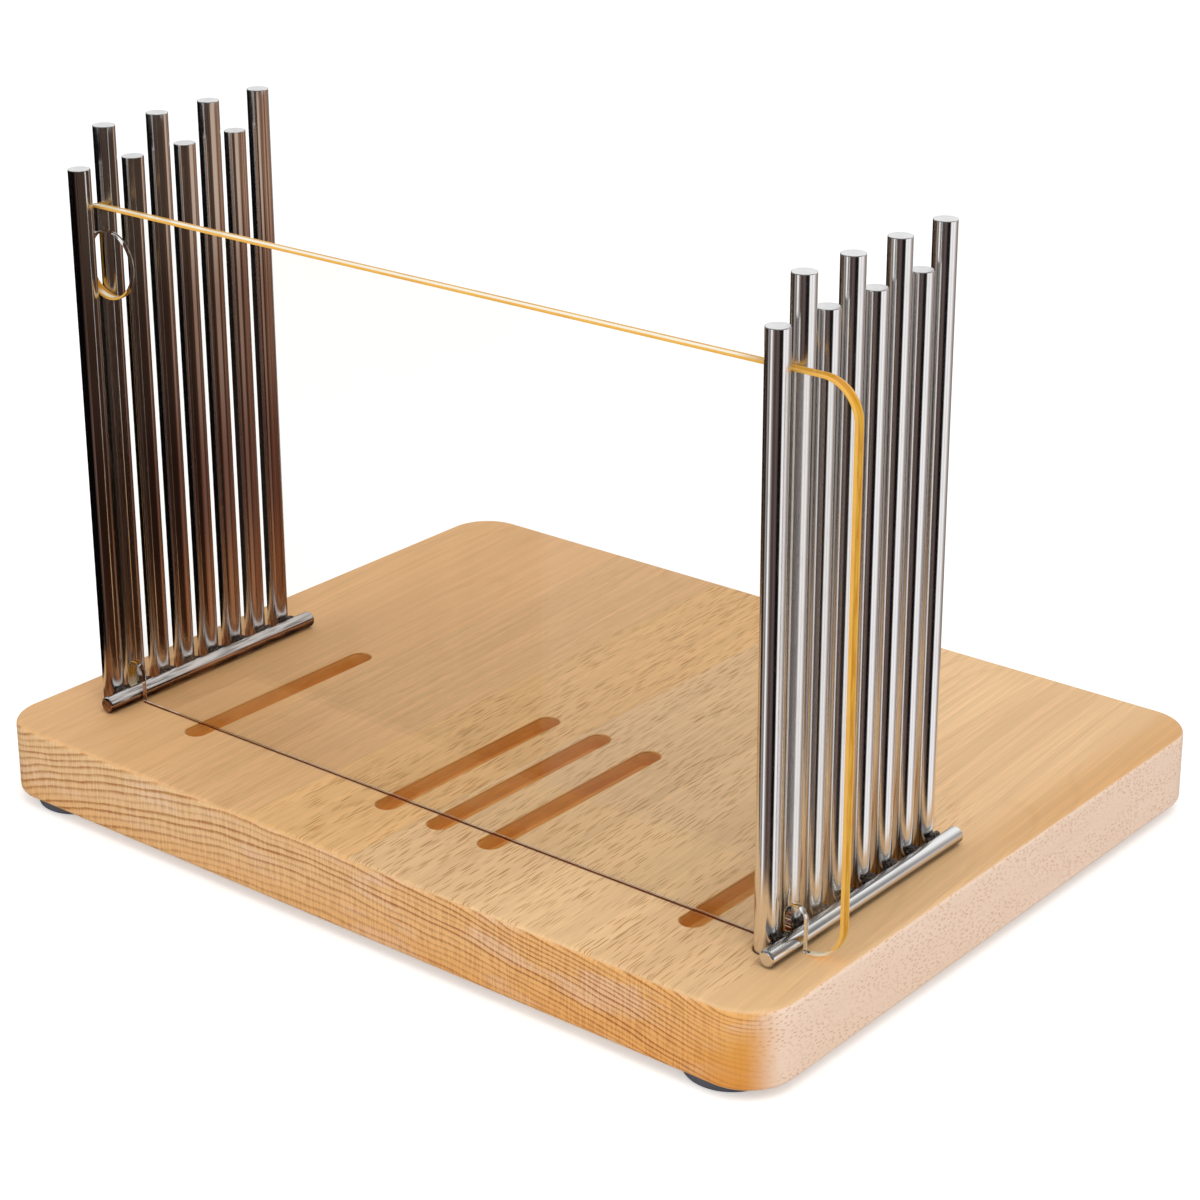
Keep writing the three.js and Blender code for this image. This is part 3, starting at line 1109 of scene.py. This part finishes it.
class SLICER_OT_stage(bpy.types.Operator):
    """Build the floor, surroundings, softboxes, mirrored cards and camera"""
    bl_idname = "slicer_guide.stage"
    bl_label = "Stage"

    def execute(self, context):
        settings = context.scene.slicer_stage
        self.floor(settings)
        self.surroundings(context.scene, settings)
        for name, place, size, power in SOFTBOXES:
            self.softbox(name, place, size, getattr(settings, power))
        self.warm_cards()
        self.foot_card()
        self.rail_card()
        self.dark_card()
        self.camera(context.scene)
        context.scene.view_settings.view_transform = "Standard"
        return {"FINISHED"}

    def sorted_rays(self, net, leaving=0.0):
        """Two masks: rays straight from the camera or the clear sheet, and mirrored ones.

        A ray that leaves for the world counts one bounce more than one that meets a surface.
        """
        rays = net.add("LightPath").outputs
        turns = net.math("SUBTRACT", rays["Ray Depth"], rays["Transmission Depth"])
        through = net.product(rays["Is Transmission Ray"],
                              net.math("LESS_THAN", turns, leaving + 0.5))
        seen = net.math("MAXIMUM", rays["Is Camera Ray"], through)
        return seen, net.product(rays["Is Glossy Ray"], net.opposite(seen))

    def floor(self, settings):
        """A matt floor that the steel doesn't mirror."""
        work = bmesh.new()
        bmesh.ops.create_grid(work, x_segments=2, y_segments=2, size=FLOOR_HALF)
        material, net = new_material("pale_floor")
        seen, mirrored = self.sorted_rays(net)
        matt = net.add("BsdfDiffuse", {"Color": settings.floor_tone})
        glow = net.add("Emission", {
            "Color": WHITE, "Strength": net.product(seen, settings.floor_glow)})
        both = net.add("AddShader", {0: matt.outputs[0], 1: glow.outputs[0]})
        self.finish_see_through(net, mirrored, both)
        new_piece("floor", work, [material])

    def finish_see_through(self, net, clear, shader):
        """The shader, with nothing there for the rays that the mask calls clear."""
        gone = net.add("BsdfTransparent")
        finish_surface(net, net.add("MixShader", {
            0: clear, 1: shader.outputs[0], 2: gone.outputs[0]}))

    def surroundings(self, scene, settings):
        """A white room for the camera; the steel mirrors its bright and dark walls."""
        world = bpy.data.worlds.new("studio")
        world.use_nodes = True
        world.node_tree.nodes.clear()
        net = Net(world.node_tree)
        x, y, z = net.parts(net.add("TexCoord").outputs["Generated"])
        angle = net.math("ARCTAN2", x, net.product(y, -1.0))
        share = net.math("MULTIPLY_ADD", angle, 0.5 / math.pi, 0.5)
        walls = net.bands(share, [((a + 180) / 360, tone) for a, *tone in WALLS])
        above = net.bands(share, [((a + 180) / 360, (v, v, v)) for a, v in OVERHEAD])
        seen, mirrored = self.sorted_rays(net, leaving=1.0)
        colour = net.blend(mirrored, (settings.ambient,) * 3,
                           net.blend(net.rise(z, *WALL_TOP), walls, above))
        sky = net.add("Background", {"Color": net.blend(seen, colour, WHITE)})
        net.add("OutputWorld", {"Surface": sky.outputs[0]})
        world.cycles.sampling_method = "NONE"
        scene.world = world

    def softbox(self, name, place, size, power):
        """A square lamp that shines at the object and isn't mirrored."""
        lamp = bpy.data.lights.new(name, "AREA")
        lamp.shape = "SQUARE"
        lamp.size = size
        lamp.energy = power
        box = bpy.data.objects.new(name, lamp)
        box.location = place
        box.rotation_euler = (LAMP_AIM - Vector(place)).to_track_quat("-Z", "Y").to_euler()
        box.visible_glossy = False
        bpy.context.scene.collection.objects.link(box)

    def warm_cards(self):
        """Brown cards beside the left fence, in front of and behind the plate, that glow only for
        mirrored rays: a painted reflection in its steel.
        """
        plate_low, plate_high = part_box("guard_plate")
        front_end, back_end = WARM_CARD_ENDS
        spans = (("front", front_end, plate_low.y - 1 * MM),
                 ("back", plate_high.y + 1 * MM, back_end))
        x = middle("left_rod_1").x + WARM_CARD_REACH
        foot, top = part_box("board")[1].z + 1 * MM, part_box("left_rod_2")[1].z
        material, net, tone = self.streaked("warm_card", (0.03, 0.12, 0.004), "#3E261C", "#8A6350")
        y, z = net.parts(place_in_mm(net))[1:]
        # The dark zone, the pale strip and the tints by height shape the painted reflection.
        tone = net.blend(net.rise(y, -62.0, -52.0), paint("#33241D"), tone)
        strip = net.product(net.rise(y, -52.0, -46.0), net.rise(y, -34.0, -26.0, 1, 0))
        tone = net.tinted(
            net.blend(strip, tone, paint("#94786A")),
            (net.rise(z, 100.0, 155.0, 1, 0), WARM_CARD_LOWER_TINT),
            (net.rise(z, 42.0, 85.0, 1, 0), WARM_CARD_FOOT_TINT),
            (net.rise(z, 165.0, 215.0), WARM_CARD_TOP_TINT))
        toward_rods = net.add("NewGeometry").outputs["Backfacing"]
        self.mirrored_glow(net, tone, net.opposite(toward_rods))
        for part, front, back in spans:
            corners = ((x, front, foot), (x, back, foot), (x, back, top), (x, front, top))
            self.card(f"warm_card_{part}", corners, material)

    def foot_card(self):
        """A brown card that lies at the left fence's foot, there only from above: a painted reflection
        of the board in shade, mirrored by the rods' feet.
        """
        rod = middle("left_rod_1").x
        low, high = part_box("board")
        material, net, tone = self.streaked("foot_card", (0.15, 0.15, 1.0), "#45281A", "#A0663C")
        # Painted reflection with painted shade: the rods' feet mirror this glow instead of the board.
        self.mirrored_glow(net, tone, net.add("NewGeometry").outputs["Backfacing"])
        self.card("foot_card", self.lying(
            rod - FOOT_CARD_REACH, rod + WARM_CARD_REACH, low.y + 1 * MM, high.y - 1 * MM,
            high.z + FOOT_CARD_GAP), material)

    def rail_card(self):
        """A pale card over the left rail, there only from below: a painted reflection that gives the
        rail's top its bright highlight.
        """
        low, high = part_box("left_rail")
        material, net, tone = self.streaked("rail_card", (0.25, 0.06, 1.0), "#7C7876", "#DDD9D7")
        below = net.add("NewGeometry").outputs["Backfacing"]
        # Painted highlight: the rail's top mirrors this pale glow.
        self.mirrored_glow(net, tone, net.opposite(below))
        self.card("rail_card", self.lying(
            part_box("left_rod_1")[1].x, middle("left_rod_1").x + WARM_CARD_REACH, low.y,
            high.y + RAIL_CARD_OVERHANG, high.z + RAIL_CARD_GAP), material)

    def dark_card(self):
        """A dark card in front of the left fence, mirrored in its rods' left halves: a painted dark
        reflection.
        """
        rod = middle("left_rod_1").x
        left, right = (rod + reach for reach in DARK_CARD_REACHES)
        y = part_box("board")[0].y - DARK_CARD_GAP
        foot, top = DARK_CARD_FOOT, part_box("left_rod_2")[1].z
        material, net, tone = self.streaked(
            "dark_card", (0.07, 0.1, 0.003), "#1C120E", "#6E564A", 0.65, 0.12)
        across = net.parts(place_in_mm(net))["X"]
        # Painted reflection: left of the fence the card goes nearly black, for the rods' darkest
        # streaks.
        black = net.rise(across, rod / MM - 6, rod / MM + 12, 1, 0)
        self.mirrored_glow(net, net.blend(black, tone, paint("#070505")))
        corners = ((left, y, foot), (right, y, foot), (right, y, top), (left, y, top))
        self.card("dark_card", corners, material)

    def streaked(self, name, scale, dark, light, roughness=0.6, softness=0.15):
        """A card's material, its net of nodes and the tone of its dark and light streaks."""
        material, net = new_material(name)
        streaks = net.streaks(place_in_mm(net), scale, 3, roughness)
        share = net.rise(streaks, 0.5 - softness, 0.5 + softness)
        return material, net, net.blend(share, paint(dark), paint(light))

    def mirrored_glow(self, net, tone, hidden=0.0):
        """A glow that isn't there for rays straight from the camera or the clear sheet."""
        seen = self.sorted_rays(net)[0]
        glow = net.add("Emission", {"Color": tone, "Strength": 1.0})
        self.finish_see_through(net, net.math("MAXIMUM", seen, hidden), glow)

    def lying(self, left, right, front, back, z):
        """The corners of a card that lies flat, anticlockwise from above."""
        return (left, front, z), (right, front, z), (right, back, z), (left, back, z)

    def card(self, name, corners, material):
        """A flat card that lights nothing and that only mirrors show."""
        work = bmesh.new()
        work.faces.new([work.verts.new(corner) for corner in corners])
        card = new_piece(name, work, [material])
        for kind in ("camera", "diffuse", "volume_scatter", "shadow"):
            setattr(card, "visible_" + kind, False)

    def camera(self, scene):
        """The camera at the photograph's angle; its roll comes after its tilt and its turn."""
        lens = bpy.data.cameras.new("camera")
        lens.sensor_width = 36
        lens.lens = CAMERA_LENS
        lens.shift_y = CAMERA_SHIFT
        lens.clip_start = 0.01
        turn, tilt, roll = (math.radians(angle) for angle in CAMERA_TURN)
        aim = (Matrix.Rotation(turn, 4, "Z") @ Matrix.Rotation(math.pi / 2 - tilt, 4, "X")
               @ Matrix.Rotation(roll, 4, "Z"))
        view = bpy.data.objects.new("camera", lens)
        view.matrix_world = Matrix.Translation(CAMERA_PLACE) @ aim
        scene.collection.objects.link(view)
        scene.camera = view


class SLICER_PT_panel(bpy.types.Panel):
    """Lists the pieces and their settings"""
    bl_idname = "SLICER_PT_panel"
    bl_label = "Slicer Guide"
    bl_space_type = "VIEW_3D"
    bl_region_type = "UI"
    bl_category = "Slicer Guide"

    def draw(self, context):
        for operator, group in STEPS:
            box = self.layout.box()
            box.operator(operator.bl_idname)
            if group:
                settings = getattr(context.scene, group)
                for name in settings.__annotations__:
                    box.prop(settings, name)


SETTINGS = {
    "slicer_board": BoardSettings,
    "slicer_fence": FenceSettings,
    "slicer_plate": PlateSettings,
    "slicer_foot": FootSettings,
    "slicer_stage": StageSettings,
}
STEPS = (
    (SLICER_OT_board, "slicer_board"),
    (SLICER_OT_fences, "slicer_fence"),
    (SLICER_OT_welds, None),
    (SLICER_OT_plate, "slicer_plate"),
    (SLICER_OT_feet, "slicer_foot"),
    (SLICER_OT_stage, "slicer_stage"),
)
CLASSES = (*SETTINGS.values(), *(operator for operator, group in STEPS), SLICER_PT_panel)


def register():
    for each in CLASSES:
        bpy.utils.register_class(each)
    for name, kind in SETTINGS.items():
        setattr(bpy.types.Scene, name, bpy.props.PointerProperty(type=kind))


def unregister():
    for name in SETTINGS:
        delattr(bpy.types.Scene, name)
    for each in reversed(CLASSES):
        bpy.utils.unregister_class(each)


def main():
    register()
    bpy.ops.slicer_guide.board()
    bpy.ops.slicer_guide.fences()
    bpy.ops.slicer_guide.welds()
    bpy.ops.slicer_guide.plate()
    bpy.ops.slicer_guide.feet()
    bpy.ops.slicer_guide.stage()


if __name__ == "__main__":
    main()
